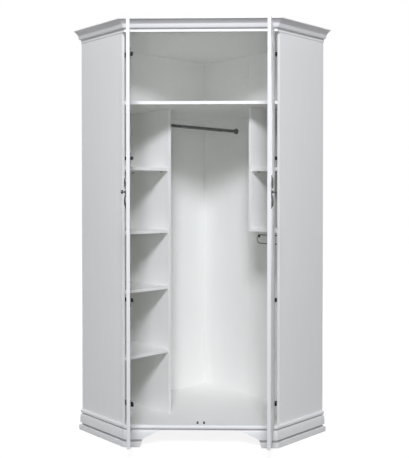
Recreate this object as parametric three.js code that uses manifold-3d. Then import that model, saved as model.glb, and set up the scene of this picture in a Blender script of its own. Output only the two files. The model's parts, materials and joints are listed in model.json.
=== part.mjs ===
// Corner wardrobe with two doors, drawn with its doors standing open.
// Millimetres, +Z up. The front faces -Y, the room corner behind it is at +Y, and the floor is Z = 0.
// The parts are drawn with X = 0 on the centre line and Y = 0 at the side panels' front corners.
import * as THREE from 'three';
import { mergeVertices } from 'three/addons/utils/BufferGeometryUtils.js';
import Module from 'manifold-3d';

const wasm = await Module();
wasm.setup();

// Cabinet body
const cabinetHeight = 2100;
const wallRun = 900;
const sideDepth = 350;
const boardThickness = 16;
const seatGap = 0.3;
const topCompartmentHeight = 334;
const backSeamFromCorner = 380;

// Left column of shelves, set so that they clear the hinges
const leftColumnWidth = 288;
const firstShelfBelowUpperHinge = 56;
const secondShelfAboveLowerHinge = 325;
const thirdShelfAboveLowerHinge = 30;
const fourthShelfAboveBottomHinge = 214;
const shelfSetback = 4;
const shelfEndGap = 0.4;

// Right column of shelves, hung from the fixed shelf
const rightColumnWidth = 176;
const rightColumnBelowUpperHinge = 368;
const rightShelfBelowUpperHinge = 61;

// Plane that the crown, the closed doors and the base share, in front of the side panels
const friezeProud = 15;
const mitreGap = 0.2;

// Crown moulding
const crownFasciaHeight = 16;
const crownFasciaProud = 3;
const crownStepProud = 12;
const crownBendReach = 4;
const crownSlopeReach = 10;
const crownSlopeRise = 20;
const crownCoveReach = 23;
const crownCoveRise = 18;
const crownCoveHollowShare = 0.12;
const crownLipReach = 4;
const crownRimWidth = 16;
const crownRimHeight = 3;
const crownBackHeight = 28;
const bodyTopAboveCrownUnderside = 15;
const curveSteps = 8;

// Base moulding
const footProud = 21;
const footToeEase = 3;
const footShoulderProud = 19;
const footShoulderHeight = 25;
const footHeight = 27;
const undercutProud = 1.5;
const undercutTop = 33;
const baseBodyProud = 14;
const baseBodyUnderside = 38;
const baseBodyShoulder = 50;
const baseBodyTopProud = 6;
const baseBodyTop = 84;
const beadRootProud = 1;
const beadReach = 10;
const beadUnderside = 86;
const beadHeight = 22;
const floorBelowBaseTop = 14;

// Arch sawn out of the front base, which leaves the two bracket feet
const archTopBelowBody = 2;
const archHalfWidth = 202;
const archShoulderDrop = 6;
const archKneeHalfWidth = 246;
const archKneeHeight = 59;
const archToeHalfWidth = 291;
const archToeRise = 46;
const archFootHalfWidth = 294;
const archFootHeight = 20;
const archFloorHalfWidth = 300;
const archShoulderEase = 14;
const archToeEase = 8;
const cutOverrun = 5;

// Doors
const doorThickness = 16;
const doorUndersideClearance = 2;
const doorTopClearance = 10;
const doorBackClearance = 2;
const doorOverlay = 9.3;
const meetingGap = 3;
const hingeAxisFromDoorEdge = 24;
const hingeAxisAheadOfDoor = 0.35;
const leftOpenAngle = 83.2;
const rightOpenAngle = 83.2;
const stileWidth = 72;
const topRailHeight = 80;
const bottomRailHeight = 96;
const doorPanelThickness = 8;
const grooveDepth = 9;

// Concealed hinges
const hingeFromDoorEnd = 92.5;
const middleHingeShares = [0.3175, 0.684];
const cupDiameter = 35;
const cupDepth = 11.5;
const cupFromDoorEdge = 22;
const cupClearance = 0.3;
const flangeThickness = 1;
const flangeHeight = 52;
const flangeBackOffset = 4;
const flangeWidth = 26;
const knuckleHeight = 12;
const knuckleBesideAxis = 8;
const linkOffPanel = 0.3;
const linkOffDoor = 0.3;
const linkStartAngle = 83;
const linkPastNoseAngle = 22;
const hingeArmHeight = 16;
const armNoseAngle = 40;
const armRootOffPanel = 3.3;
const armTail = 58;
const armTopside = 29;
const armFootStart = 22;
const armNoseEase = 5;
const mountPlateStart = 30;
const mountPlateEnd = 50;
const mountPlateHeight = 46;
const mountPlateThickness = 2.4;

// Door handles
const handleHeight = 1256;
const handleFromFreeEdge = 36;
const backplateHeight = 150;
const backplateWidth = 26;
const backplateThickness = 2.6;
const bossFromKnob = 41;
const bossWidth = 15;
const bossHeight = 56;
const bossRise = 8.5;
const backplateShares = [
  [1, 0],
  [0.92, 0.14],
  [0.5, 0.34],
  [0.72, 0.52],
  [0.84, 0.66],
  [0.46, 0.84],
  [0, 1],
];
const knobStemRadius = 4;
const knobBaseRadius = 6.5;
const knobBaseHeight = 3;
const knobNeckHeight = 11;
const knobHeadRadius = 9;
const knobHeadHeight = 9;
const roundSegments = 32;

// Hanging rod
const rodDiameter = 18;
const rodBelowFixedShelf = 76;
const rodBehindDividerFront = 65;
const rodSocketDiameter = 33;
const rodSocketFlange = 3;
const rodSocketDepth = 14;
const rodSocketRingDiameter = 25;
const rodFit = 0.35;

// Swinging loop for ties, on the right side panel
const loopLength = 162;
const loopBelowColumn = 15;
const loopSpread = 48;
const loopWireDiameter = 5;
const loopBallDiameter = 13;
const loopBallFromEnd = 15;
const loopFromFront = 30;
const loopPivotFromPanel = 9;
const loopBarrelDiameter = 9;
const loopPinDiameter = 4;
const loopPinClearance = 0.35;
const loopBarrelReach = 3;
const bracketLugThickness = 3;
const bracketPlateThickness = 2.5;
const bracketPlateWidth = 22;
const bracketPlateReach = 9;
const wireSides = 10;

// Door catches on the bottom board
const catchFromCentre = 16;
const catchWidth = 9;
const catchDepth = 14;
const catchHeight = 21;
const catchEase = 2;

const diagonalShare = Math.SQRT1_2;
const halfFront = (wallRun - sideDepth) * diagonalShare;
const cornerY = (wallRun + sideDepth) * diagonalShare;
const wallEndX = wallRun * diagonalShare;
const wallEndY = sideDepth * diagonalShare;
const frontInset = boardThickness * diagonalShare;
const crownUnderside = cabinetHeight - crownRimHeight - crownCoveRise - crownSlopeRise - crownFasciaHeight;
const bodyTop = crownUnderside + bodyTopAboveCrownUnderside;
const fixedShelfTop = bodyTop - boardThickness - topCompartmentHeight;
const baseTop = beadUnderside + beadHeight;
const floorTop = baseTop - floorBelowBaseTop;
const doorUnderside = baseTop + doorUndersideClearance;
const doorTop = crownUnderside - doorTopClearance;
const hingeHeights = [
  doorUnderside + hingeFromDoorEnd,
  ...middleHingeShares.map((share) => doorUnderside + (doorTop - doorUnderside) * share),
  doorTop - hingeFromDoorEnd,
];
const [bottomHinge, lowerHinge, upperHinge] = hingeHeights;
const leftShelfUndersides = [
  upperHinge - firstShelfBelowUpperHinge,
  lowerHinge + secondShelfAboveLowerHinge,
  lowerHinge + thirdShelfAboveLowerHinge,
  bottomHinge + fourthShelfAboveBottomHinge,
];
const rightShelfUnderside = upperHinge - rightShelfBelowUpperHinge;
const rightColumnUnderside = upperHinge - rightColumnBelowUpperHinge;
const rodHeight = fixedShelfTop - boardThickness - rodBelowFixedShelf;
const rodFromLeftWall = sideDepth - rodBehindDividerFront;
const loopFromWall = sideDepth - loopFromFront;
const loopTop = rightColumnUnderside - loopBelowColumn;
const loopUnderside = loopTop - loopSpread;
const doorHingeEdgeX = halfFront - frontInset + doorOverlay;
const doorWidth = doorHingeEdgeX - meetingGap / 2;
const doorFrontDepth = doorBackClearance + doorThickness;
const hingeAxisX = doorHingeEdgeX - hingeAxisFromDoorEdge;
const hingeAxisDepth = doorFrontDepth + hingeAxisAheadOfDoor;
const hingeAxisOffPanel = (halfFront - hingeAxisX - hingeAxisDepth) * diagonalShare - boardThickness;
const hingeAxisBeyondPanel = (halfFront - hingeAxisX + hingeAxisDepth) * diagonalShare;
const doorCornerReach = Math.hypot(hingeAxisFromDoorEdge, hingeAxisAheadOfDoor + doorThickness);
const linkInnerRadius = doorCornerReach + linkOffDoor;
const linkOuterRadius = hingeAxisBeyondPanel - linkOffPanel;

const paint = { color: 0xe9ebea, roughness: 0.45, metalness: 0 };
const nickel = { color: 0x6a6a68, roughness: 0.35, metalness: 0.9 };
const pewter = { color: 0x4b443b, roughness: 0.45, metalness: 0.8 };
const steel = { color: 0x55565a, roughness: 0.3, metalness: 0.9 };
const darkPlastic = { color: 0x2f2a26, roughness: 0.5, metalness: 0 };

const sides = [
  { name: 'left', sign: 1, openAngle: leftOpenAngle },
  { name: 'right', sign: -1, openAngle: rightOpenAngle },
];

// Shape helpers
function piece(parent, name, geometry, finish) {
  const mesh = new THREE.Mesh(geometry, new THREE.MeshStandardMaterial(finish));
  mesh.name = name;
  parent.add(mesh);
  return mesh;
}

function outline(points) {
  return new THREE.Shape(points.map(([x, y]) => new THREE.Vector2(x, y)));
}

function extruded(shape, height) {
  const settings = { depth: height, bevelEnabled: false, curveSegments: curveSteps };
  return new THREE.ExtrudeGeometry(shape, settings);
}

function boxBetween(x0, x1, y0, y1, z0, z1) {
  const geometry = new THREE.BoxGeometry(x1 - x0, y1 - y0, z1 - z0);
  return geometry.translate((x0 + x1) / 2, (y0 + y1) / 2, (z0 + z1) / 2);
}

function uprightCylinder(radius, z0, z1) {
  const geometry = new THREE.CylinderGeometry(radius, radius, z1 - z0, roundSegments);
  return geometry.rotateX(Math.PI / 2).translate(0, 0, (z0 + z1) / 2);
}

function mirrored(geometry) {
  const flipped = geometry.index ? geometry.toNonIndexed() : geometry;
  flipped.scale(-1, 1, 1);
  for (const attribute of Object.values(flipped.attributes)) {
    const { array, itemSize } = attribute;
    for (let i = 0; i < array.length; i += itemSize * 3) {
      for (let j = 0; j < itemSize; j += 1) {
        const kept = array[i + j];
        array[i + j] = array[i + itemSize * 2 + j];
        array[i + itemSize * 2 + j] = kept;
      }
    }
  }
  return flipped;
}

function handed(side, geometry) {
  return side.sign > 0 ? geometry : mirrored(geometry);
}

// Booleans
function solidOf(geometry) {
  const bare = geometry.clone();
  bare.deleteAttribute('normal');
  bare.deleteAttribute('uv');
  const merged = mergeVertices(bare);
  return new wasm.Manifold(new wasm.Mesh({
    numProp: 3,
    vertProperties: new Float32Array(merged.attributes.position.array),
    triVerts: new Uint32Array(merged.index.array),
  }));
}

function geometryOf(solid) {
  const mesh = solid.getMesh();
  const geometry = new THREE.BufferGeometry();
  geometry.setAttribute('position', new THREE.BufferAttribute(mesh.vertProperties, 3));
  geometry.setIndex(new THREE.BufferAttribute(mesh.triVerts, 1));
  const flat = geometry.toNonIndexed();
  flat.computeVertexNormals();
  return flat;
}

function joined(...geometries) {
  return geometryOf(geometries.map(solidOf).reduce((all, next) => all.add(next)));
}

function cut(geometry, ...tools) {
  return geometryOf(tools.map(solidOf).reduce((left, tool) => left.subtract(tool), solidOf(geometry)));
}

// Plan lines of the five-sided cabinet, each moved inwards by its inset
function sideLine(sign, inset) {
  return { nx: sign * diagonalShare, ny: diagonalShare, d: inset - halfFront * diagonalShare };
}

function wallLine(sign, inset) {
  return { nx: sign * diagonalShare, ny: -diagonalShare, d: inset - cornerY * diagonalShare };
}

function frontLine(y) {
  return { nx: 0, ny: 1, d: y };
}

function crossing(a, b) {
  const det = a.nx * b.ny - a.ny * b.nx;
  return [(a.d * b.ny - a.ny * b.d) / det, (a.nx * b.d - a.d * b.nx) / det];
}

function cabinetPlan(inset, frontY) {
  const front = frontLine(frontY);
  return outline([
    crossing(front, sideLine(1, inset)),
    crossing(sideLine(1, inset), wallLine(1, inset)),
    crossing(wallLine(1, inset), wallLine(-1, inset)),
    crossing(wallLine(-1, inset), sideLine(-1, inset)),
    crossing(sideLine(-1, inset), front),
  ].reverse());
}

// A straight moulding: the profile holds [proud, height] pairs, and each end is a length for a given proud
function moulding(profile, startAt, endAt) {
  const section = profile.map(([proud, height]) => new THREE.Vector2(proud, height));
  const faces = THREE.ShapeUtils.triangulateShape(section, []);
  const points = [];
  for (const lengthAt of [startAt, endAt]) {
    for (const [proud, height] of profile) points.push(lengthAt(proud), -proud, height);
  }
  const count = profile.length;
  const index = [];
  for (const [a, b, c] of faces) index.push(a, b, c, c + count, b + count, a + count);
  for (let i = 0; i < count; i += 1) {
    const next = (i + 1) % count;
    index.push(i, next + count, next, i, i + count, next + count);
  }
  const geometry = new THREE.BufferGeometry();
  geometry.setAttribute('position', new THREE.Float32BufferAttribute(points, 3));
  geometry.setIndex(index);
  const flat = geometry.toNonIndexed();
  flat.computeVertexNormals();
  return flat;
}

function quarterArc(centreX, centreY, radiusX, radiusY, startShare, endShare) {
  const points = [];
  for (let i = 1; i <= curveSteps; i += 1) {
    const angle = (startShare + (endShare - startShare) * (i / curveSteps)) * Math.PI * 2;
    points.push([centreX + radiusX * Math.cos(angle), centreY + radiusY * Math.sin(angle)]);
  }
  return points;
}

function bent(start, bend, end) {
  const curve = new THREE.QuadraticBezierCurve(start, bend, end);
  return curve.getPoints(curveSteps).slice(1).map(({ x, y }) => [x, y]);
}

// From the bottom up: a fascia, a step, a slope with a rounded foot, a cove and a lip
function crownProfile() {
  const fasciaTop = crownUnderside + crownFasciaHeight;
  const slopeFoot = new THREE.Vector2(crownStepProud, fasciaTop);
  const slopeBend = new THREE.Vector2(crownStepProud + crownBendReach, fasciaTop);
  const slopeTop = new THREE.Vector2(crownStepProud + crownSlopeReach, fasciaTop + crownSlopeRise);
  const coveTop = new THREE.Vector2(slopeTop.x + crownCoveReach, slopeTop.y + crownCoveRise);
  const coveCorner = new THREE.Vector2(slopeTop.x, coveTop.y);
  const coveBend = slopeTop.clone().lerp(coveTop, 1 / 2).lerp(coveCorner, crownCoveHollowShare);
  const lip = coveTop.x + crownLipReach;
  return [
    [seatGap, crownUnderside],
    [crownFasciaProud, crownUnderside],
    [crownFasciaProud, fasciaTop],
    [crownStepProud, fasciaTop],
    ...bent(slopeFoot, slopeBend, slopeTop),
    ...bent(slopeTop, coveBend, coveTop),
    [lip, coveTop.y],
    [lip, cabinetHeight],
    [lip - crownRimWidth, cabinetHeight],
    [seatGap, crownUnderside + crownBackHeight],
  ];
}

function baseProfile() {
  return [
    [seatGap, 0],
    [footProud - footToeEase, 0],
    [footProud, footToeEase],
    [footProud, footShoulderHeight],
    ...quarterArc(footShoulderProud, footShoulderHeight, footProud - footShoulderProud,
      footHeight - footShoulderHeight, 0, 1 / 4),
    [undercutProud, footHeight],
    [undercutProud, undercutTop],
    [baseBodyProud, baseBodyUnderside],
    [baseBodyProud, baseBodyShoulder],
    ...quarterArc(baseBodyTopProud, baseBodyShoulder, baseBodyProud - baseBodyTopProud,
      baseBodyTop - baseBodyShoulder, 0, 1 / 4),
    [beadRootProud, baseBodyTop],
    [beadRootProud, beadUnderside],
    ...quarterArc(beadRootProud, beadUnderside + beadHeight / 2, beadReach, beadHeight / 2, -1 / 4, 1 / 4),
    [seatGap, baseTop],
  ];
}

// Length of a side moulding from the wall to its mitre, and half the length of a front one
function sideMitre(proud) {
  return sideDepth + Math.SQRT2 * (friezeProud + proud) - proud - mitreGap;
}

function frontMitre(proud) {
  return halfFront + proud * Math.SQRT2 - friezeProud - proud - mitreGap;
}

function sideMoulding(profile) {
  return moulding(profile, () => 0, sideMitre).rotateZ(-Math.PI / 2);
}

function frontMoulding(profile, halfLength) {
  return moulding(profile, (proud) => -halfLength(proud), halfLength).translate(0, -friezeProud, 0);
}

// Block behind a front moulding, as long as the side mouldings' back faces let it be
function frontBacking(underside, top) {
  const back = seatGap - friezeProud;
  const profile = [[back, underside], [seatGap * 2, underside], [seatGap * 2, top], [back, top]];
  return frontMoulding(profile, (proud) => halfFront - friezeProud - Math.min(proud, seatGap));
}

// Carcass: side panels, back boards, dividers and loose shelves, in each wing's own frame
function wingGroup(side) {
  const wing = new THREE.Group();
  wing.position.set(-side.sign * wallEndX, wallEndY, 0);
  wing.rotation.z = side.sign * Math.PI / 4;
  return wing;
}

function wingBoard(wing, side, name, along, fromWall, heights) {
  const size = [along[1] - along[0], fromWall[1] - fromWall[0], heights[1] - heights[0]];
  const board = piece(wing, name, new THREE.BoxGeometry(...size), paint);
  board.position.set(side.sign * (along[0] + along[1]) / 2, -(fromWall[0] + fromWall[1]) / 2,
    (heights[0] + heights[1]) / 2);
}

function addSideAndBacks(wing, side) {
  const seam = wallRun - backSeamFromCorner;
  const cornerEnd = side.sign > 0 ? wallRun : wallRun - boardThickness - seatGap;
  wingBoard(wing, side, `${side.name}_side_panel`, [0, boardThickness], [0, sideDepth], [0, bodyTop]);
  wingBoard(wing, side, `${side.name}_back_board`, [boardThickness + seatGap, seam - seatGap / 2],
    [0, boardThickness], [0, bodyTop]);
  wingBoard(wing, side, `${side.name}_corner_back_board`, [seam + seatGap / 2, cornerEnd],
    [0, boardThickness], [0, bodyTop]);
}

function looseShelf(wing, side, name, inner, underside) {
  wingBoard(wing, side, name, [boardThickness + shelfEndGap, inner - shelfEndGap],
    [boardThickness + seatGap, sideDepth - shelfSetback], [underside, underside + boardThickness]);
}

function addLeftColumn(wing, side) {
  const backFace = boardThickness + seatGap;
  const inner = boardThickness + leftColumnWidth;
  wingBoard(wing, side, 'left_divider', [inner, inner + boardThickness], [backFace, sideDepth],
    [floorTop + seatGap, fixedShelfTop - boardThickness - seatGap]);
  leftShelfUndersides.forEach((underside, i) => {
    looseShelf(wing, side, `left_shelf_${i + 1}`, inner, underside);
  });
}

function addRightColumn(wing, side) {
  const backFace = boardThickness + seatGap;
  const inner = boardThickness + rightColumnWidth;
  wingBoard(wing, side, 'right_divider', [inner, inner + boardThickness], [backFace, sideDepth],
    [rightColumnUnderside, fixedShelfTop - boardThickness - seatGap]);
  wingBoard(wing, side, 'right_column_bottom', [boardThickness + seatGap, inner - seatGap],
    [backFace, sideDepth], [rightColumnUnderside, rightColumnUnderside + boardThickness]);
  looseShelf(wing, side, 'right_shelf', inner, rightShelfUnderside);
}

function addFixedBoards(root) {
  const inset = boardThickness + seatGap;
  const top = piece(root, 'top_board', extruded(cabinetPlan(inset, 0), boardThickness), paint);
  top.position.z = bodyTop - boardThickness;
  const bottom = piece(root, 'bottom_board', extruded(cabinetPlan(inset, 0), boardThickness), paint);
  bottom.position.z = floorTop - boardThickness;
  const shelf = piece(root, 'fixed_shelf', extruded(cabinetPlan(inset, frontInset), boardThickness), paint);
  shelf.position.z = fixedShelfTop - boardThickness;
}

// Crown and base
function archOutline() {
  const archTop = baseBodyTop - archTopBelowBody;
  const shoulder = archTop - archShoulderDrop;
  const shape = new THREE.Shape();
  shape.moveTo(-archFloorHalfWidth, -cutOverrun);
  shape.lineTo(archFloorHalfWidth, -cutOverrun);
  shape.lineTo(archFloorHalfWidth, 0);
  shape.quadraticCurveTo(archFootHalfWidth, archFootHeight / 2, archFootHalfWidth, archFootHeight);
  shape.lineTo(archToeHalfWidth, footHeight);
  shape.quadraticCurveTo(archToeHalfWidth - archToeEase, archToeRise, archKneeHalfWidth, archKneeHeight);
  shape.quadraticCurveTo(archHalfWidth + archShoulderEase, shoulder, archHalfWidth, shoulder);
  shape.lineTo(archHalfWidth, archTop);
  shape.lineTo(-archHalfWidth, archTop);
  shape.lineTo(-archHalfWidth, shoulder);
  shape.quadraticCurveTo(-archHalfWidth - archShoulderEase, shoulder, -archKneeHalfWidth, archKneeHeight);
  shape.quadraticCurveTo(archToeEase - archToeHalfWidth, archToeRise, -archToeHalfWidth, footHeight);
  shape.lineTo(-archFootHalfWidth, archFootHeight);
  shape.quadraticCurveTo(-archFootHalfWidth, archFootHeight / 2, -archFloorHalfWidth, 0);
  return shape;
}

function addFrontMouldings(root) {
  const crown = joined(frontMoulding(crownProfile(), frontMitre),
    frontBacking(crownUnderside, crownUnderside + crownBackHeight));
  piece(root, 'crown_front', crown, paint);
  const reach = friezeProud + footProud + cutOverrun * 2;
  const arch = extruded(archOutline(), reach).rotateX(Math.PI / 2).translate(0, cutOverrun, 0);
  const base = joined(frontMoulding(baseProfile(), frontMitre), frontBacking(0, baseTop));
  piece(root, 'base_front', cut(base, arch), paint);
}

function addSideMouldings(wing, side) {
  piece(wing, `crown_${side.name}`, handed(side, sideMoulding(crownProfile())), paint);
  piece(wing, `base_${side.name}`, handed(side, sideMoulding(baseProfile())), paint);
}

// Doors, drawn closed about their hinge axis and then turned open
function doorGroup(side) {
  const door = new THREE.Group();
  door.position.set(-side.sign * hingeAxisX, -hingeAxisDepth, 0);
  door.rotation.z = -side.sign * THREE.MathUtils.degToRad(side.openAngle);
  return door;
}

// Door coordinates: x from the hinge edge, y from the outer face inwards
const doorEdge = -hingeAxisFromDoorEdge;
const doorFace = hingeAxisAheadOfDoor;

function doorBox(x0, x1, y0, y1, z0, z1) {
  return boxBetween(doorEdge + x0, doorEdge + x1, doorFace + y0, doorFace + y1, z0, z1);
}

function panelSlot(x0, x1, z0, z1, clearance) {
  const slotFace = (doorThickness - doorPanelThickness) / 2;
  return doorBox(x0, x1, slotFace - clearance, doorThickness - slotFace + clearance, z0, z1);
}

function cupPocket(height) {
  const radius = cupDiameter / 2 + cupClearance;
  const depth = cupDepth + cupClearance;
  const pocket = new THREE.CylinderGeometry(radius, radius, depth + cutOverrun, roundSegments);
  const middle = doorFace + doorThickness + (cutOverrun - depth) / 2;
  return pocket.translate(doorEdge + cupFromDoorEdge, middle, height);
}

function hingeStile() {
  const blank = doorBox(0, stileWidth, 0, doorThickness, doorUnderside, doorTop);
  const slot = panelSlot(stileWidth - grooveDepth, stileWidth + cutOverrun, doorUnderside - cutOverrun,
    doorTop + cutOverrun, seatGap);
  return cut(blank, slot, ...hingeHeights.map(cupPocket));
}

function lockStile() {
  const start = doorWidth - stileWidth;
  const blank = doorBox(start, doorWidth, 0, doorThickness, doorUnderside, doorTop);
  return cut(blank, panelSlot(start - cutOverrun, start + grooveDepth, doorUnderside - cutOverrun,
    doorTop + cutOverrun, seatGap));
}

function rail(z0, z1, slotZ0, slotZ1) {
  const x0 = stileWidth + seatGap;
  const x1 = doorWidth - stileWidth - seatGap;
  const tongue = grooveDepth - seatGap;
  const body = joined(doorBox(x0, x1, 0, doorThickness, z0, z1),
    panelSlot(stileWidth - tongue, doorWidth - stileWidth + tongue, z0, z1, 0));
  return cut(body, panelSlot(-cutOverrun, doorWidth + cutOverrun, slotZ0, slotZ1, seatGap));
}

function addDoorFrame(door, side) {
  const panelLow = doorUnderside + bottomRailHeight - grooveDepth;
  const panelHigh = doorTop - topRailHeight + grooveDepth;
  const tongue = grooveDepth - seatGap;
  const parts = {
    hinge_stile: hingeStile(),
    lock_stile: lockStile(),
    bottom_rail: rail(doorUnderside, doorUnderside + bottomRailHeight, panelLow,
      doorUnderside + bottomRailHeight + cutOverrun),
    top_rail: rail(doorTop - topRailHeight, doorTop, doorTop - topRailHeight - cutOverrun, panelHigh),
    panel: panelSlot(stileWidth - tongue, doorWidth - stileWidth + tongue, panelLow + seatGap,
      panelHigh - seatGap, 0),
  };
  for (const [name, geometry] of Object.entries(parts)) {
    piece(door, `${side.name}_door_${name}`, handed(side, geometry), paint);
  }
}

// Hinge cup: a disc let into the stile, its flange, and the knuckle and curved link at its edge
const linkStart = THREE.MathUtils.degToRad(linkStartAngle);

function hingeLink(height, openAngle) {
  const linkEnd = THREE.MathUtils.degToRad(armNoseAngle + openAngle + linkPastNoseAngle);
  const band = new THREE.Shape();
  band.absarc(0, 0, linkOuterRadius, linkStart, linkEnd, false);
  band.absarc(0, 0, linkInnerRadius, linkEnd, linkStart, true);
  return extruded(band, knuckleHeight).translate(0, 0, height - knuckleHeight / 2);
}

function hingeCup(height, openAngle) {
  const inner = doorFace + doorThickness;
  const centreX = doorEdge + cupFromDoorEdge;
  const radius = cupDiameter / 2;
  const disc = new THREE.CylinderGeometry(radius, radius, cupDepth + flangeThickness, roundSegments);
  disc.translate(centreX, inner + (flangeThickness - cupDepth) / 2, height);
  const flangeX = centreX + flangeBackOffset - flangeWidth / 2;
  const flange = boxBetween(flangeX, flangeX + flangeWidth, inner + seatGap, inner + flangeThickness,
    height - flangeHeight / 2, height + flangeHeight / 2);
  const knuckle = boxBetween(-knuckleBesideAxis, linkInnerRadius * Math.cos(linkStart), inner,
    linkInnerRadius, height - knuckleHeight / 2, height + knuckleHeight / 2);
  return joined(disc, flange, knuckle, hingeLink(height, openAngle));
}

// Hinge arm on the side panel: x is off the panel's inner face, y is back from its front end.
// Its nose is hollowed about the hinge axis, so that the link turns inside it.
function hingeArm() {
  const radius = linkOuterRadius + seatGap;
  const nose = THREE.MathUtils.degToRad(armNoseAngle) - Math.PI / 4;
  const root = Math.acos((armRootOffPanel - hingeAxisOffPanel) / radius);
  const shape = new THREE.Shape();
  shape.moveTo(seatGap, armFootStart);
  shape.absarc(hingeAxisOffPanel, -hingeAxisBeyondPanel, radius, root, nose, true);
  const noseY = shape.currentPoint.y;
  shape.lineTo(armTopside - armNoseEase, noseY);
  shape.lineTo(armTopside, noseY + armNoseEase);
  shape.lineTo(armTopside, armTail);
  shape.lineTo(seatGap, armTail);
  const arm = extruded(shape, hingeArmHeight).translate(0, 0, -hingeArmHeight / 2);
  const plate = boxBetween(seatGap, mountPlateThickness, mountPlateStart, mountPlateEnd,
    -mountPlateHeight / 2, mountPlateHeight / 2);
  return joined(arm, plate);
}

function addHinges(wing, door, side) {
  hingeHeights.forEach((height, i) => {
    piece(door, `${side.name}_hinge_cup_${i + 1}`, handed(side, hingeCup(height, side.openAngle)), nickel);
    const arm = piece(wing, `${side.name}_hinge_arm_${i + 1}`, handed(side, hingeArm()), nickel);
    arm.position.set(side.sign * boardThickness, -sideDepth, height);
  });
}

// Handles: a shaped backplate and a turned knob on each door's outer face
function backplateOutline() {
  const halfWidth = backplateWidth / 2;
  const halfHeight = backplateHeight / 2;
  const corner = backplateShares.map(([width, height]) => (
    new THREE.Vector2(halfWidth * width, halfHeight * height)));
  const edge = new THREE.SplineCurve(corner).getPoints(curveSteps * 3);
  const half = [...edge, ...edge.slice(0, -1).reverse().map(({ x, y }) => new THREE.Vector2(-x, y))];
  const lower = half.slice(1, -1).reverse().map(({ x, y }) => new THREE.Vector2(x, -y));
  return new THREE.Shape([...half, ...lower]);
}

function knob() {
  const head = knobBaseHeight + knobNeckHeight;
  const flare = knobBaseRadius - knobStemRadius;
  const profile = [
    [0, 0],
    [knobBaseRadius, 0],
    [knobBaseRadius, knobBaseHeight],
    [knobStemRadius, knobBaseHeight + flare],
    [knobStemRadius, head - flare],
    ...quarterArc(knobStemRadius, head, knobHeadRadius - knobStemRadius, flare, -1 / 4, 0),
    ...quarterArc(0, head, knobHeadRadius, knobHeadHeight, 0, 1 / 4).slice(0, -1),
    [0, head + knobHeadHeight],
  ];
  return new THREE.LatheGeometry(profile.map(([x, y]) => new THREE.Vector2(x, y)), roundSegments);
}

// A raised oval on the backplate, standing on its outer face
function boss() {
  const rim = [[0, 0], [1, 0], ...quarterArc(0, 0, 1, 1, 0, 1 / 4).slice(0, -1), [0, 1]];
  const dome = new THREE.LatheGeometry(rim.map(([x, y]) => new THREE.Vector2(x, y)), roundSegments);
  return dome.scale(bossWidth / 2, bossRise, bossHeight / 2).rotateX(Math.PI);
}

function backplate() {
  const plate = extruded(backplateOutline(), backplateThickness).rotateX(Math.PI / 2);
  const bosses = [-bossFromKnob, bossFromKnob].map((z) => boss().translate(0, -backplateThickness, z));
  return joined(plate, ...bosses);
}

function addHandle(door, side) {
  const x = doorEdge + doorWidth - handleFromFreeEdge;
  const plateFace = doorFace - seatGap;
  const plate = backplate().translate(x, plateFace, handleHeight);
  piece(door, `${side.name}_backplate`, handed(side, plate), pewter);
  const turned = knob().rotateX(Math.PI);
  turned.translate(x, plateFace - backplateThickness - seatGap, handleHeight);
  piece(door, `${side.name}_knob`, handed(side, turned), pewter);
}

// Hanging rod between the divider and the other wing's back board
function rodSocket() {
  const bore = rodDiameter / 2 + rodFit;
  const profile = [
    [0, 0],
    [rodSocketDiameter / 2, 0],
    [rodSocketDiameter / 2, rodSocketFlange],
    [rodSocketRingDiameter / 2, rodSocketFlange],
    [rodSocketRingDiameter / 2, rodSocketDepth],
    [bore, rodSocketDepth],
    [bore, rodSocketFlange],
    [0, rodSocketFlange],
  ];
  return new THREE.LatheGeometry(profile.map(([x, y]) => new THREE.Vector2(x, y)), roundSegments);
}

function addRod(wing) {
  const start = boardThickness * 2 + leftColumnWidth + seatGap;
  const end = wallRun - boardThickness - seatGap;
  const inSocket = rodSocketFlange + seatGap;
  const length = end - start - inSocket * 2;
  const rod = new THREE.CylinderGeometry(rodDiameter / 2, rodDiameter / 2, length, roundSegments);
  const parts = {
    hanging_rod: [rod.rotateZ(Math.PI / 2), (start + end) / 2],
    rod_socket_left: [rodSocket().rotateZ(-Math.PI / 2), start],
    rod_socket_right: [rodSocket().rotateZ(Math.PI / 2), end],
  };
  for (const [name, [geometry, along]] of Object.entries(parts)) {
    piece(wing, name, geometry, steel).position.set(along, -rodFromLeftWall, rodHeight);
  }
}

// Tie loop and its bracket, both drawn about the pivot with x off the side panel
function loopWire() {
  const radius = loopWireDiameter / 2;
  const high = loopTop - radius;
  const low = loopUnderside + radius;
  const bend = (high - low) / 2;
  const reach = loopLength - loopPivotFromPanel - radius - bend;
  const start = (loopPinDiameter / 2 + loopPinClearance + loopBarrelDiameter / 2) / 2;
  const points = [new THREE.Vector3(start, 0, high)];
  for (let i = 0; i <= curveSteps * 2; i += 1) {
    const angle = Math.PI / 2 - Math.PI * (i / (curveSteps * 2));
    const height = low + bend + bend * Math.sin(angle);
    points.push(new THREE.Vector3(reach + bend * Math.cos(angle), 0, height));
  }
  points.push(new THREE.Vector3(start, 0, low));
  const path = new THREE.CurvePath();
  for (let i = 1; i < points.length; i += 1) path.add(new THREE.LineCurve3(points[i - 1], points[i]));
  const section = new THREE.Shape().absarc(0, 0, radius, 0, Math.PI * 2);
  return new THREE.ExtrudeGeometry(section, {
    extrudePath: path, steps: curveSteps * 8, curveSegments: wireSides / 2, bevelEnabled: false,
  });
}

// Stop ball under the loop's outer end
function loopBall() {
  const ball = new THREE.SphereGeometry(loopBallDiameter / 2, wireSides * 2, wireSides);
  const height = loopTop - (loopWireDiameter + loopBallDiameter) / 2;
  return ball.translate(loopLength - loopPivotFromPanel - loopBallFromEnd, 0, height);
}

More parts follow.
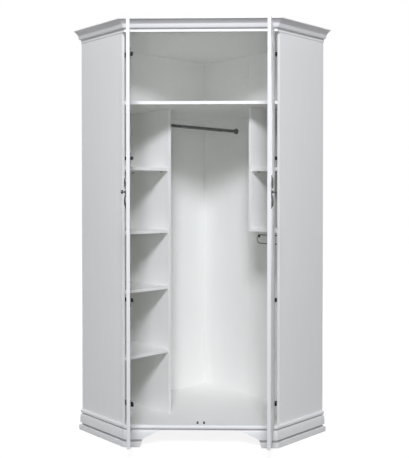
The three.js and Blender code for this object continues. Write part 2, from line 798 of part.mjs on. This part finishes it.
function tieLoop() {
  const low = loopUnderside - loopBarrelReach;
  const high = loopTop + loopBarrelReach;
  const barrel = uprightCylinder(loopBarrelDiameter / 2, low, high);
  const boreRadius = loopPinDiameter / 2 + loopPinClearance;
  const bore = uprightCylinder(boreRadius, low - cutOverrun, high + cutOverrun);
  return cut(joined(barrel, loopWire(), loopBall()), bore);
}

function loopBracket() {
  const plateFace = seatGap - loopPivotFromPanel;
  const halfWidth = bracketPlateWidth / 2;
  const lugLow = loopUnderside - loopBarrelReach - seatGap - bracketLugThickness;
  const lugHigh = loopTop + loopBarrelReach + seatGap + bracketLugThickness;
  const lugReach = loopBarrelDiameter / 2;
  const plate = boxBetween(plateFace, plateFace + bracketPlateThickness, -halfWidth, halfWidth,
    lugLow - bracketPlateReach, lugHigh);
  const lugs = [lugLow, lugHigh - bracketLugThickness].map((z) => (
    boxBetween(plateFace, lugReach, -lugReach, lugReach, z, z + bracketLugThickness)));
  return joined(plate, ...lugs, uprightCylinder(loopPinDiameter / 2, lugLow, lugHigh));
}

function addTieLoop(wing, side) {
  for (const [name, build] of [['tie_loop_bracket', loopBracket], ['tie_loop', tieLoop]]) {
    const mesh = piece(wing, name, handed(side, build()), steel);
    mesh.position.set(side.sign * (boardThickness + loopPivotFromPanel), -loopFromWall, 0);
  }
}

// Door catches, standing on the bottom board behind the doors' meeting edges
function addCatches(root) {
  const half = catchWidth / 2;
  const plan = outline([
    [-half, catchEase],
    [catchEase - half, 0],
    [half - catchEase, 0],
    [half, catchEase],
    [half, catchDepth],
    [-half, catchDepth],
  ]);
  for (const side of sides) {
    const mesh = piece(root, `${side.name}_door_catch`, extruded(plan, catchHeight), darkPlastic);
    mesh.position.set(-side.sign * catchFromCentre, seatGap, floorTop + seatGap);
  }
}

// The whole wardrobe, with the origin on the floor under the middle of its bounding box
const root = new THREE.Group();
addFixedBoards(root);
addFrontMouldings(root);
addCatches(root);
for (const side of sides) {
  const wing = wingGroup(side);
  const door = doorGroup(side);
  addSideAndBacks(wing, side);
  addSideMouldings(wing, side);
  addDoorFrame(door, side);
  addHinges(wing, door, side);
  addHandle(door, side);
  if (side.sign > 0) {
    addLeftColumn(wing, side);
    addRod(wing);
  } else {
    addRightColumn(wing, side);
    addTieLoop(wing, side);
  }
  root.add(wing, door);
}

const box = new THREE.Box3().setFromObject(root, true);
const wardrobe = new THREE.Group();
root.position.set(-(box.min.x + box.max.x) / 2, -(box.min.y + box.max.y) / 2, -box.min.z);
wardrobe.add(root);

export default wardrobe;
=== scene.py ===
"""Corner wardrobe with its two doors standing open, in metres, front towards -Y."""
import json
import math

import bmesh
import bpy
from mathutils import Matrix, Vector


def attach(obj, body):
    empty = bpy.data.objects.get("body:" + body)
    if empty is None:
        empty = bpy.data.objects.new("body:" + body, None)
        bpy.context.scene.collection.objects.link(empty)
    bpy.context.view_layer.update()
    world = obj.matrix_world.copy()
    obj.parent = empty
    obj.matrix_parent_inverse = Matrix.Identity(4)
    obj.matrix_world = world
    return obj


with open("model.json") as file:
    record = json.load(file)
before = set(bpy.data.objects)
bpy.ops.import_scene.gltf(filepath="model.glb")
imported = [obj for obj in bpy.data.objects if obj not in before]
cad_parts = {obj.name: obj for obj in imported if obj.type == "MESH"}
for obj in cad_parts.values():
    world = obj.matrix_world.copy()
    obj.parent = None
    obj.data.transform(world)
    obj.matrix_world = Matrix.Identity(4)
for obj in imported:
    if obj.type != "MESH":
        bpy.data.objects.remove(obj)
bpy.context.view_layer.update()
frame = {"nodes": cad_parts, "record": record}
nodes = frame["nodes"]

# Sizes that the dressed pieces share with the solids
SIGN = {"left": 1, "right": -1}
FRONT_Y = -0.2533611  # the plane through the side panels' front edges
WALL_END = (0.6363961, 0.2474874)  # where a room wall's back boards end, from that plane
WING = 0.9  # along a room wall
BOARD = 0.016
SIDE_DEPTH = 0.350
LEFT_COLUMN = 0.288
RIGHT_COLUMN = 0.176
SHELVES = {  # width, and the undersides of the loose shelves
    "left": (LEFT_COLUMN, (1.36933, 1.04555, 0.75055, 0.4165)),
    "right": (RIGHT_COLUMN, (1.36433,)),
}

# Doors, measured from the hinge axis along the door
OPEN_ANGLE = 83.2
HINGE_AXIS = (0.3628950, -0.01835)
HINGE_EDGE = -0.024
DOOR_WIDTH = 0.385395
DOOR_THICKNESS = 0.016
DOOR_LOW, DOOR_HIGH = 0.110, 2.033
OUTER_FACE = 0.00035
INNER_FACE = OUTER_FACE + DOOR_THICKNESS
STILE = 0.072
TOP_RAIL = 0.080
BOTTOM_RAIL = 0.096
PANEL_RECESS = 0.004

# Panel beads: width, rise, and how far they stand off the panel
BEAD_WIDTH, BEAD_RISE = 0.008, 0.0036
BEAD_LIFT = 0.0002
GAP = 0.0001  # keeps a piece's faces from lying in those of its neighbour

# Shelf pins: turned collar and peg, and a tongue that carries the shelf
PIN_PROFILE = ((0, 0), (0.0042, 0), (0.0042, 0.0014), (0.0036, 0.002), (0.0025, 0.002),
               (0.0025, 0.009), (0, 0.009))
PIN_DROP = 0.0028
PINS_FROM_WALL = (0.055, 0.295)
TONGUE_SIZE = (0.0065, 0.0014, 0.009)
TONGUE_MIDDLE = (0, PIN_DROP - 0.0010, 0.0055)

# Screw heads: radius and rise
HINGE_SCREW = (0.0036, 0.0013)
SOCKET_SCREW = (0.0028, 0.0011)
BRACKET_SCREW = (0.0026, 0.0011)
BACKPLATE_SCREW = (0.0027, 0.0012)
STRIKE_SCREW = (0.0022, 0.0007)

# Hinges
HINGE_HEIGHTS = (0.2025, 0.72055, 1.42533, 1.9405)
ARM_PLATE = 0.0024  # thickness on the side panel
ARM_PLATE_BACK = 0.040  # from the side panel's front edge
ARM_RISE = 0.029
ARM_SCREWS_BACK = (0.012, 0.048)
PLATE_SCREW_STEP = 0.0185
FLANGE_X = HINGE_EDGE + 0.026
FLANGE_RISE = 0.001
FLANGE_SCREW_STEP = 0.0222

# Hanging rod's sockets
ROD_FROM_WALL, ROD_HEIGHT = 0.285, 1.616
SOCKET_GAP, SOCKET_DEPTH = 0.0003, 0.003
SOCKET_SCREW_STEP = 0.0145

# Tie loop
LOOP_FROM_WALL = 0.320
BRACKET_THICKNESS = 0.0028
BRACKET_SCREWS = ((0, 0.9845), (-0.0072, 1.0185), (0.0072, 1.0185))  # across, height
STOP_BEAD = (0.163, LOOP_FROM_WALL, 1.03333)
STOP_BEAD_HALF = ((0.0066, 0), (0.0067, 0.0004), (0.0070, 0.0012), (0.0064, 0.0036),
                  (0.0042, 0.0064), (0, 0.0068))

# Handles and strike plates
HANDLE_X = HINGE_EDGE + DOOR_WIDTH - 0.036
HANDLE_HEIGHT = 1.256
BACKPLATE_FACE = OUTER_FACE - 0.0029
BACKPLATE_SCREW_STEP = 0.0142
COLLAR_PROFILE = ((0.0066, 0), (0.0098, 0), (0.0102, 0.0006), (0.0098, 0.0014), (0.0086, 0.0018),
                  (0.0082, 0.0024), (0.0076, 0.0028), (0.0066, 0.0028), (0.0066, 0))
STRIKE_X = HINGE_AXIS[0] - 0.016
STRIKE_HEIGHT = 0.1152
STRIKE_SIZE = (0.014, 0.0010, 0.009)

# Softening of the solids
SHARP_ANGLE = math.radians(32)
PIECE_SHARP_ANGLE = math.radians(35)
BEVEL_ANGLE = math.radians(50)
BOARD_BEVEL, FITTING_BEVEL = 0.0007, 0.0006
WELD_DISTANCE = 1e-5
DOUBLES_DISTANCE = 1e-6

# Camera: its focal length and shift were fitted in the photograph's pixels
PHOTO_HEIGHT = 458
FOCAL_PIXELS = 724.85
SHIFT_PIXELS = -21.09
SENSOR = 36
CAMERA_PLACE = (0.09795, -3.57808 + FRONT_Y, 1.23505)
CAMERA_YAW, CAMERA_PITCH = math.radians(-1.271), math.radians(-0.893)

# Floor and lamps
FLOOR_REACH = 30
FLOOR_UNSEEN = (0.50, 0.50, 0.46, 1)
FLOOR_SEEN = (0.27, 0.27, 0.27, 1)
FLOOR_GLOW = {"From Min": 1.2, "From Max": 3.2, "To Min": 0.86, "To Max": 1.0}
WORLD_STRENGTH = 0.01
LAMP_TINT = (0.912, 0.925, 1.0)
LAMPS = (  # name, place, target, size, power
    ("key", (0.05, -4.6, 4.0), (0, 0, 1.1), 1.15, 213),
    ("low_fill", (0.0, -4.6, 1.3), (0, 0, 1.1), 1.2, 30),
    ("back_left", (-3.4, 3.6, 1.7), (0, 0.2, 1.1), 2.0, 120),
    ("back_right", (3.4, 3.6, 1.7), (0, 0.2, 1.1), 2.0, 120),
)


def add_camera():
    data = bpy.data.cameras.new("camera")
    camera = bpy.data.objects.new("camera", data)
    bpy.context.collection.objects.link(camera)
    bpy.context.scene.camera = camera
    camera.location = CAMERA_PLACE
    forward = Vector((
        math.sin(CAMERA_YAW) * math.cos(CAMERA_PITCH),
        math.cos(CAMERA_YAW) * math.cos(CAMERA_PITCH),
        math.sin(CAMERA_PITCH),
    ))
    camera.rotation_euler = forward.to_track_quat("-Z", "Y").to_euler()
    data.sensor_width = SENSOR
    data.lens = SENSOR * FOCAL_PIXELS / PHOTO_HEIGHT
    data.shift_y = SHIFT_PIXELS / PHOTO_HEIGHT
    data.clip_end = 2 * FLOOR_REACH


# Places
def wing_matrix(side):
    """X runs along the room wall from the side panel's outer face, Y away from the wall."""
    mirror = Matrix.Diagonal((SIGN[side], 1, 1, 1))
    turn = Matrix.Rotation(math.pi / 4, 4, "Z")
    place = Matrix.Translation((-WALL_END[0], WALL_END[1] + FRONT_Y, 0))
    flip = Matrix.Diagonal((1, -1, 1, 1))
    return mirror @ place @ turn @ flip


def door_matrix(side):
    """X runs along the door from the hinge axis, Y through it towards its inner face."""
    mirror = Matrix.Diagonal((SIGN[side], 1, 1, 1))
    turn = Matrix.Rotation(-math.radians(OPEN_ANGLE), 4, "Z")
    place = Matrix.Translation((-HINGE_AXIS[0], HINGE_AXIS[1] + FRONT_Y, 0))
    return mirror @ place @ turn


def towards(x, y, z, normal):
    """Places a shape that faces +Z so that it faces along normal."""
    turn = Vector(normal).to_track_quat("Z", "Y").to_matrix().to_4x4()
    return Matrix.Translation((x, y, z)) @ turn


# Mesh helpers
def piece(name, shape, matrix, body, slot, material=None):
    """Makes an object of a shape, which it frees. The finish is the slot's unless one is given."""
    shape.transform(matrix)
    bmesh.ops.remove_doubles(shape, verts=shape.verts, dist=DOUBLES_DISTANCE)
    bmesh.ops.recalc_face_normals(shape, faces=shape.faces)
    mesh = bpy.data.meshes.new(name)
    shape.to_mesh(mesh)
    shape.free()
    mesh.materials.append(material or MATERIALS[slot])
    made = bpy.data.objects.new(name, mesh)
    bpy.context.collection.objects.link(made)
    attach(made, body)
    smooth(made, PIECE_SHARP_ANGLE)


def smooth(made, angle):
    for polygon in made.data.polygons:
        polygon.use_smooth = True
    split = made.modifiers.new("split", "EDGE_SPLIT")
    split.split_angle = angle


def add_copy(target, source, matrix):
    scratch = bpy.data.meshes.new("scratch")
    copy = source.copy()
    copy.transform(matrix)
    copy.to_mesh(scratch)
    copy.free()
    target.from_mesh(scratch)
    bpy.data.meshes.remove(scratch)


def block(size, middle, rounding):
    """A small block with rounded edges."""
    shape = bmesh.new()
    bmesh.ops.create_cube(shape, size=1)
    shape.transform(Matrix.Translation(middle) @ Matrix.Diagonal((*size, 1)))
    bmesh.ops.bevel(shape, geom=shape.edges[:], offset=rounding, segments=2, affect="EDGES")
    return shape


def lathe(profile, segments=28):
    """Turns a profile of radius and height round the Z axis."""
    shape = bmesh.new()
    rings = []
    for radius, height in profile:
        turns = [2 * math.pi * i / segments for i in range(segments if radius else 1)]
        rings.append([
            shape.verts.new((radius * math.cos(turn), radius * math.sin(turn), height))
            for turn in turns
        ])
    for low, high in zip(rings, rings[1:]):
        for i in range(segments):
            j = (i + 1) % segments
            corners = (low[i % len(low)], low[j % len(low)],
                       high[j % len(high)], high[i % len(high)])
            unique = list(dict.fromkeys(corners))
            if len(unique) > 2:
                shape.faces.new(unique)
    bmesh.ops.recalc_face_normals(shape, faces=shape.faces)
    return shape


def screw_head(radius, rise):
    """A screw head with a crossed recess, seated on z = 0 and facing +Z."""
    shape = bmesh.new()
    arm, reach = radius * 0.13, radius * 0.62
    cross = [(arm, arm), (arm, reach), (-arm, reach), (-arm, arm), (-reach, arm), (-reach, -arm),
             (-arm, -arm), (-arm, -reach), (arm, -reach), (arm, -arm), (reach, -arm), (reach, arm)]
    turns = [math.atan2(y, x) for x, y in cross]

    def ring(scale, height):
        wide = radius * scale
        return [shape.verts.new((wide * math.cos(t), wide * math.sin(t), height)) for t in turns]

    base, low, high = ring(1, 0), ring(1, rise * 0.3), ring(0.86, rise * 0.8)
    rim = [shape.verts.new((x, y, rise)) for x, y in cross]
    floor = [shape.verts.new((x * 0.8, y * 0.8, rise * 0.25)) for x, y in cross]
    for lower, upper in ((base, low), (low, high), (high, rim), (rim, floor)):
        for i in range(len(cross)):
            j = (i + 1) % len(cross)
            shape.faces.new((lower[i], lower[j], upper[j], upper[i]))
    shape.faces.new(floor)
    shape.faces.new(list(reversed(base)))
    bmesh.ops.recalc_face_normals(shape, faces=shape.faces)
    return shape


def add_screws(name, size, places, body, slot):
    """One piece of all the screw heads in a set."""
    head = screw_head(*size)
    every = bmesh.new()
    for place in places:
        add_copy(every, head, place)
    head.free()
    piece(name, every, Matrix.Identity(4), body, slot)


# Material helpers
def node_material(name, roughness, metallic=0.0):
    material = bpy.data.materials.new(name)
    material.use_nodes = True
    tree = material.node_tree
    shader = tree.nodes["Principled BSDF"]
    shader.inputs["Roughness"].default_value = roughness
    shader.inputs["Metallic"].default_value = metallic
    return material, tree, shader


def noise(tree, scale, detail, stretch=(1, 1, 1)):
    place = tree.nodes.new("ShaderNodeTexCoord")
    mapping = tree.nodes.new("ShaderNodeMapping")
    mapping.inputs["Scale"].default_value = stretch
    texture = tree.nodes.new("ShaderNodeTexNoise")
    texture.inputs["Scale"].default_value = scale
    texture.inputs["Detail"].default_value = detail
    tree.links.new(place.outputs["Object"], mapping.inputs["Vector"])
    tree.links.new(mapping.outputs["Vector"], texture.inputs["Vector"])
    return texture.outputs["Fac"]


def ramp(tree, source, low, high, start=0.3, end=0.7):
    made = tree.nodes.new("ShaderNodeValToRGB")
    made.color_ramp.elements[0].position = start
    made.color_ramp.elements[0].color = (*low, 1)
    made.color_ramp.elements[1].position = end
    made.color_ramp.elements[1].color = (*high, 1)
    tree.links.new(source, made.inputs["Fac"])
    return made.outputs["Color"]


def span(tree, source, low, high, start=0.0, end=1.0):
    """Maps start..end onto low..high."""
    made = tree.nodes.new("ShaderNodeMapRange")
    values = {"From Min": start, "From Max": end, "To Min": low, "To Max": high}
    for name, value in values.items():
        made.inputs[name].default_value = value
    tree.links.new(source, made.inputs["Value"])
    return made.outputs["Result"]


def tone(tree, colour):
    made = tree.nodes.new("ShaderNodeRGB")
    made.outputs[0].default_value = (*colour, 1)
    return made.outputs[0]


def mixed(tree, factor, first, second):
    made = tree.nodes.new("ShaderNodeMix")
    made.data_type = "RGBA"
    tree.links.new(factor, made.inputs["Factor"])
    tree.links.new(first, made.inputs["A"])
    tree.links.new(second, made.inputs["B"])
    return made.outputs["Result"]


def bump(tree, source, strength, distance, under=None):
    made = tree.nodes.new("ShaderNodeBump")
    made.inputs["Strength"].default_value = strength
    made.inputs["Distance"].default_value = distance
    tree.links.new(source, made.inputs["Height"])
    if under is not None:
        tree.links.new(under, made.inputs["Normal"])
    return made.outputs["Normal"]


def background_share(tree):
    """1 for the rays that show the white background: camera, glossy and transmission rays."""
    path = tree.nodes.new("ShaderNodeLightPath")
    share = path.outputs["Is Camera Ray"]
    for ray in ("Is Glossy Ray", "Is Transmission Ray"):
        either = tree.nodes.new("ShaderNodeMath")
        either.operation = "MAXIMUM"
        tree.links.new(share, either.inputs[0])
        tree.links.new(path.outputs[ray], either.inputs[1])
        share = either.outputs[0]
    return share


# Materials
def moulding_painted_shade(tree, colour, groove_shade, under):
    """Paints shade into the colour: darker in narrow folds and on faces that look down."""
    # painted shade in grooves: where ambient occlusion finds a narrow fold, the colour turns to the
    # darker groove tone
    open_share = tree.nodes.new("ShaderNodeAmbientOcclusion")
    open_share.only_local = True
    open_share.samples = 12
    open_share.inputs["Distance"].default_value = 0.012
    flat = span(tree, open_share.outputs["AO"], 0, 1, 0.4, 0.8)
    # painted shade on undersides: faces whose normal points down take the darker under tone
    place = tree.nodes.new("ShaderNodeTexCoord")
    split = tree.nodes.new("ShaderNodeSeparateXYZ")
    tree.links.new(place.outputs["Normal"], split.inputs["Vector"])
    down = span(tree, split.outputs["Z"], 0, 1, -0.25, -0.8)
    shaded = mixed(tree, down, colour, tone(tree, under))
    return mixed(tree, flat, tone(tree, groove_shade), shaded)


def satin_paint(name, low, high, groove_shade=None, under=None):
    """White satin foil: slow cloudiness, a fine upright grain and a light sprayed dimple."""
    material, tree, shader = node_material(name, 0.42)
    shader.inputs["Specular IOR Level"].default_value = 0.4
    clouds = noise(tree, 2.3, 3)
    grain = noise(tree, 60, 5, (1, 1, 0.05))
    dimple = noise(tree, 900, 2)
    colour = ramp(tree, clouds, low, high)
    streak = ramp(tree, grain, tuple(c * 0.975 for c in low), high, 0.25, 0.6)
    painted = mixed(tree, span(tree, grain, 0, 0.45), colour, streak)
    # painted shade for mouldings: darker grooves and undersides
    if groove_shade:
        painted = moulding_painted_shade(tree, painted, groove_shade, under)
    tree.links.new(painted, shader.inputs["Base Color"])
    tree.links.new(span(tree, clouds, 0.36, 0.5), shader.inputs["Roughness"])
    surface = bump(tree, dimple, 0.08, 0.0003, bump(tree, grain, 0.06, 0.0006))
    tree.links.new(surface, shader.inputs["Normal"])
    return material


def metal(name, low, high, roughness, stretch, scale, scratch=0.15):
    """Metal with brushed or cast unevenness in its colour, roughness and surface."""
    material, tree, shader = node_material(name, roughness, 1.0)
    patches = noise(tree, scale, 5)
    lines = noise(tree, scale * 9, 3, stretch)
    rough = span(tree, lines, roughness * 0.75, roughness * 1.3)
    tree.links.new(ramp(tree, patches, low, high), shader.inputs["Base Color"])
    tree.links.new(rough, shader.inputs["Roughness"])
    tree.links.new(bump(tree, lines, scratch, 0.0003), shader.inputs["Normal"])
    return material


def plastic(name, low, high):
    """Moulded plastic: faint patches and a fine pebbled surface."""
    material, tree, shader = node_material(name, 0.5)
    grain = noise(tree, 700, 3)
    tree.links.new(ramp(tree, noise(tree, 40, 3), low, high), shader.inputs["Base Color"])
    tree.links.new(span(tree, grain, 0.45, 0.62), shader.inputs["Roughness"])
    tree.links.new(bump(tree, grain, 0.2, 0.0002), shader.inputs["Normal"])
    return material


ALONG_X, ALONG_Z, EVEN = (0.1, 1, 1), (1, 1, 0.1), (1, 1, 1)
WHITE = satin_paint("white_satin", (0.925, 0.930, 0.896), (0.950, 0.954, 0.920))
# Crown and base white: a slightly darker copy of the board white, which is a painted shade. Its
# grooves take the groove tone and its downward faces take the under tone, both painted shade
SHADED_TRIM_WHITE = satin_paint("trim_white_painted_shade", (0.905, 0.912, 0.893), (0.93, 0.937, 0.918),
                         groove_shade=(0.665, 0.652, 0.655), under=(0.685, 0.667, 0.673))
# Door white: a darker copy of the board white, a painted shade that tones down the lamp-facing door
# parts and panel beads
SHADED_DOOR_WHITE = satin_paint("door_white_painted_shade", (0.79, 0.80, 0.782), (0.82, 0.83, 0.812))
NICKEL = metal("bright_nickel", (0.30, 0.30, 0.29), (0.42, 0.42, 0.41), 0.34, ALONG_Z, 60)
# Hinge steel darkened to near black, a painted shade for hinges that sit in shadow in the gaps
# beside the doors
SHADED_HINGE = metal("hinge_painted_shade", (0.022, 0.022, 0.023), (0.045, 0.045, 0.047), 0.45, ALONG_Z, 60, 0.1)
STEEL = metal("fitting_steel", (0.17, 0.172, 0.176), (0.26, 0.262, 0.267), 0.36, ALONG_X, 40)
PEWTER = metal("aged_pewter", (0.06, 0.058, 0.06), (0.14, 0.134, 0.13), 0.42, EVEN, 55, 0.35)
BEAD = plastic("bead_plastic", (0.010, 0.010, 0.009), (0.020, 0.019, 0.017))
CATCH = plastic("catch_plastic", (0.035, 0.028, 0.024), (0.07, 0.058, 0.05))
MATERIALS = {
    "painted_board": WHITE,
    "hinge_steel": SHADED_HINGE,
    "handle_pewter": PEWTER,
    "fitting_steel": STEEL,
    "catch_plastic": CATCH,
}


# The solids keep their shape and get their finish and softened edges
def dress_solids():
    slots = {part["node"]: part["material_slot"] for part in frame["record"]["subparts"]}
    for name, solid in nodes.items():
        painted = slots[name] == "painted_board"
        finish = MATERIALS[slots[name]]
        # painted shade: crown and base take the darker trim white with shaded grooves and
        # undersides
        if name.startswith(("crown", "base")):
            finish = SHADED_TRIM_WHITE
        # painted shade: painted door parts take the darker door white
        elif painted and "_door_" in name:
            finish = SHADED_DOOR_WHITE
        solid.data.materials.clear()
        solid.data.materials.append(finish)
        weld = solid.modifiers.new("weld", "WELD")
        weld.merge_threshold = WELD_DISTANCE
        if painted:
            soften_edges(solid, BOARD_BEVEL)
        elif any(word in name for word in ("hinge_arm", "catch", "bracket")):
            soften_edges(solid, FITTING_BEVEL)
        smooth(solid, SHARP_ANGLE)
        flat = solid.modifiers.new("flat", "WEIGHTED_NORMAL")
        flat.mode = "FACE_AREA"
        flat.weight = 100


def soften_edges(solid, width):
    bevel = solid.modifiers.new("bevel", "BEVEL")
    bevel.width = width
    bevel.segments = 2
    bevel.limit_method = "ANGLE"
    bevel.angle_limit = BEVEL_ANGLE


def panel_bead(x0, x1, z0, z1, face, inwards):
    """A quarter-round bead mitred round a door panel, on the panel's side towards face."""
    steps = 6
    section = [(0, 0)]
    for i in range(steps + 1):
        turn = math.radians(90 - 90 * i / steps)
        section.append((BEAD_WIDTH * math.cos(turn), BEAD_RISE * math.sin(turn)))
    foot = face - inwards * (PANEL_RECESS - BEAD_LIFT)
    shape = bmesh.new()
    rings = []
    for cx, cz, sx, sz in ((x0, z0, 1, 1), (x1, z0, -1, 1), (x1, z1, -1, -1), (x0, z1, 1, -1)):
        rings.append([
            shape.verts.new((cx + sx * (GAP + across), foot + inwards * rise,
                             cz + sz * (GAP + across)))
            for across, rise in section
        ])
    for a, b in zip(rings, rings[1:] + rings[:1]):
        for k in range(len(section)):
            m = (k + 1) % len(section)
            shape.faces.new((a[k], b[k], b[m], a[m]))
    return shape


def add_panel_beads(side):
    x0, x1 = HINGE_EDGE + STILE, HINGE_EDGE + DOOR_WIDTH - STILE
    z0, z1 = DOOR_LOW + BOTTOM_RAIL, DOOR_HIGH - TOP_RAIL
    for label, face, inwards in (("outer", OUTER_FACE, -1), ("inner", INNER_FACE, 1)):
        piece(f"{side}_door_{label}_bead", panel_bead(x0, x1, z0, z1, face, inwards),
              door_matrix(side), f"{side}_door", "painted_board", SHADED_DOOR_WHITE)


def add_shelf_pins():
    pin = lathe(PIN_PROFILE, 20)
    tongue = block(TONGUE_SIZE, TONGUE_MIDDLE, 0.0004)
    add_copy(pin, tongue, Matrix.Identity(4))
    tongue.free()
    every = bmesh.new()
    for side, (width, undersides) in SHELVES.items():
        for underside in undersides:
            for from_wall in PINS_FROM_WALL:
                for u, facing in ((BOARD, 1), (BOARD + width, -1)):
                    turn = Matrix.Rotation(facing * math.pi / 2, 4, "Y")
                    upright = Matrix.Rotation(facing * math.pi / 2, 4, "X")
                    place = (u + facing * GAP, from_wall, underside - PIN_DROP)
                    add_copy(every, pin, wing_matrix(side) @ Matrix.Translation(place)
                             @ upright @ turn)
    pin.free()
    piece("shelf_pins", every, Matrix.Identity(4), "carcass", "fitting_steel", NICKEL)


def add_hinge_screws():
    arms = []
    for side in SIGN:
        wing, door = wing_matrix(side), door_matrix(side)
        cups = []
        for height in HINGE_HEIGHTS:
            for up in (-1, 1):
                arms.append(wing @ towards(BOARD + ARM_PLATE, SIDE_DEPTH - ARM_PLATE_BACK,
                                           height + up * PLATE_SCREW_STEP, (1, 0, 0)))
                cups.append(door @ towards(FLANGE_X, INNER_FACE + FLANGE_RISE,
                                           height + up * FLANGE_SCREW_STEP, (0, 1, 0)))
            for back in ARM_SCREWS_BACK:
                arms.append(wing @ towards(BOARD + ARM_RISE, SIDE_DEPTH - back, height, (1, 0, 0)))
        add_screws(f"{side}_hinge_cup_screws", HINGE_SCREW, cups, f"{side}_door", "hinge_steel")
    add_screws("hinge_arm_screws", HINGE_SCREW, arms, "carcass", "hinge_steel")


def add_socket_screws():
    wing = wing_matrix("left")
    start = BOARD * 2 + LEFT_COLUMN + SOCKET_GAP + SOCKET_DEPTH
    end = WING - BOARD - SOCKET_GAP - SOCKET_DEPTH
    places = [
        wing @ towards(u, ROD_FROM_WALL, ROD_HEIGHT + up * SOCKET_SCREW_STEP, (facing, 0, 0))
        for u, facing in ((start, 1), (end, -1)) for up in (-1, 1)
    ]
    add_screws("rod_socket_screws", SOCKET_SCREW, places, "carcass", "fitting_steel")


def add_bracket_screws():
    wing = wing_matrix("right")
    places = [
        wing @ towards(BOARD + BRACKET_THICKNESS, LOOP_FROM_WALL + across, height, (1, 0, 0))
        for across, height in BRACKET_SCREWS
    ]
    add_screws("tie_loop_bracket_screws", BRACKET_SCREW, places, "carcass", "fitting_steel")


def add_stop_bead():
    """A moulded stop bead with a seam, over the ball under the tie loop's outer end."""
    lower = [(radius, -height) for radius, height in reversed(STOP_BEAD_HALF)]
    bead = lathe(lower + list(STOP_BEAD_HALF[1:]))
    place = wing_matrix("right") @ Matrix.Translation(STOP_BEAD)
    piece("tie_loop_stop_bead", bead, place, "tie_loop", "catch_plastic", BEAD)


def add_handle_trim(side):
    door = door_matrix(side)
    places = [
        door @ towards(HANDLE_X, BACKPLATE_FACE, HANDLE_HEIGHT + up * BACKPLATE_SCREW_STEP,
                       (0, -1, 0))
        for up in (-1, 1)
    ]
    add_screws(f"{side}_backplate_screws", BACKPLATE_SCREW, places,
               f"{side}_door", "handle_pewter")
    piece(f"{side}_knob_collar", lathe(COLLAR_PROFILE, 40),
          door @ towards(HANDLE_X, BACKPLATE_FACE, HANDLE_HEIGHT, (0, -1, 0)),
          f"{side}_door", "handle_pewter")


def add_strike_plate(side):
    """A plate and its screw on the door's inner face, which meet the catch when it is closed."""
    thickness = STRIKE_SIZE[1]
    shape = bmesh.new()
    plate = block(STRIKE_SIZE, (0, 0, 0), 0.0003)
    middle = (STRIKE_X, INNER_FACE + thickness / 2 + GAP, STRIKE_HEIGHT)
    add_copy(shape, plate, Matrix.Translation(middle))
    plate.free()
    head = screw_head(*STRIKE_SCREW)
    add_copy(shape, head, towards(STRIKE_X, INNER_FACE + thickness + GAP, STRIKE_HEIGHT,
                                  (0, 1, 0)))
    head.free()
    piece(f"{side}_strike_plate", shape, door_matrix(side), f"{side}_door", "fitting_steel", NICKEL)


def add_floor():
    """A floor that takes the object's shadow and glows white further out."""
    mesh = bpy.data.meshes.new("floor")
    square = ((-1, -1), (1, -1), (1, 1), (-1, 1))
    mesh.from_pydata([(x * FLOOR_REACH, y * FLOOR_REACH, 0) for x, y in square], [], [(0, 1, 2, 3)])
    floor = bpy.data.objects.new("floor", mesh)
    bpy.context.collection.objects.link(floor)
    material = bpy.data.materials.new("floor")
    material.use_nodes = True
    tree = material.node_tree
    tree.nodes.clear()
    out = tree.nodes.new("ShaderNodeOutputMaterial")
    unseen = tree.nodes.new("ShaderNodeBsdfDiffuse")
    unseen.inputs["Color"].default_value = FLOOR_UNSEEN
    seen = tree.nodes.new("ShaderNodeBsdfDiffuse")
    seen.inputs["Color"].default_value = FLOOR_SEEN
    glow = tree.nodes.new("ShaderNodeEmission")
    place = tree.nodes.new("ShaderNodeTexCoord")
    distance = tree.nodes.new("ShaderNodeVectorMath")
    distance.operation = "LENGTH"
    fade = tree.nodes.new("ShaderNodeMapRange")
    for name, value in FLOOR_GLOW.items():
        fade.inputs[name].default_value = value
    tree.links.new(place.outputs["Object"], distance.inputs[0])
    tree.links.new(distance.outputs["Value"], fade.inputs["Value"])
    tree.links.new(fade.outputs["Result"], glow.inputs["Strength"])
    both = tree.nodes.new("ShaderNodeAddShader")
    tree.links.new(seen.outputs[0], both.inputs[0])
    tree.links.new(glow.outputs[0], both.inputs[1])
    pick = tree.nodes.new("ShaderNodeMixShader")
    tree.links.new(background_share(tree), pick.inputs[0])
    tree.links.new(unseen.outputs[0], pick.inputs[1])
    tree.links.new(both.outputs[0], pick.inputs[2])
    tree.links.new(pick.outputs[0], out.inputs["Surface"])
    mesh.materials.append(material)


def add_world():
    """White to look at, and almost no light of its own."""
    world = bpy.data.worlds.new("world")
    bpy.context.scene.world = world
    world.use_nodes = True
    tree = world.node_tree
    tree.nodes.clear()
    out = tree.nodes.new("ShaderNodeOutputWorld")
    dim = tree.nodes.new("ShaderNodeBackground")
    white = tree.nodes.new("ShaderNodeBackground")
    for node, strength in ((dim, WORLD_STRENGTH), (white, 1)):
        node.inputs["Color"].default_value = (1, 1, 1, 1)
        node.inputs["Strength"].default_value = strength
    pick = tree.nodes.new("ShaderNodeMixShader")
    tree.links.new(background_share(tree), pick.inputs[0])
    tree.links.new(dim.outputs[0], pick.inputs[1])
    tree.links.new(white.outputs[0], pick.inputs[2])
    tree.links.new(pick.outputs[0], out.inputs["Surface"])


def add_lamp(name, place, target, size, power):
    data = bpy.data.lights.new(name, "AREA")
    data.shape = "DISK"
    data.size = size
    data.energy = power
    data.color = LAMP_TINT
    lamp = bpy.data.objects.new(name, data)
    lamp.location = place
    lamp.rotation_euler = (Vector(target) - Vector(place)).to_track_quat("-Z", "Y").to_euler()
    bpy.context.collection.objects.link(lamp)


add_camera()
dress_solids()
add_shelf_pins()
add_hinge_screws()
add_socket_screws()
add_bracket_screws()
add_stop_bead()
for side in SIGN:
    add_panel_beads(side)
    add_handle_trim(side)
    add_strike_plate(side)
add_floor()
add_world()
for lamp in LAMPS:
    add_lamp(*lamp)

bpy.context.scene.view_settings.view_transform = "Standard"
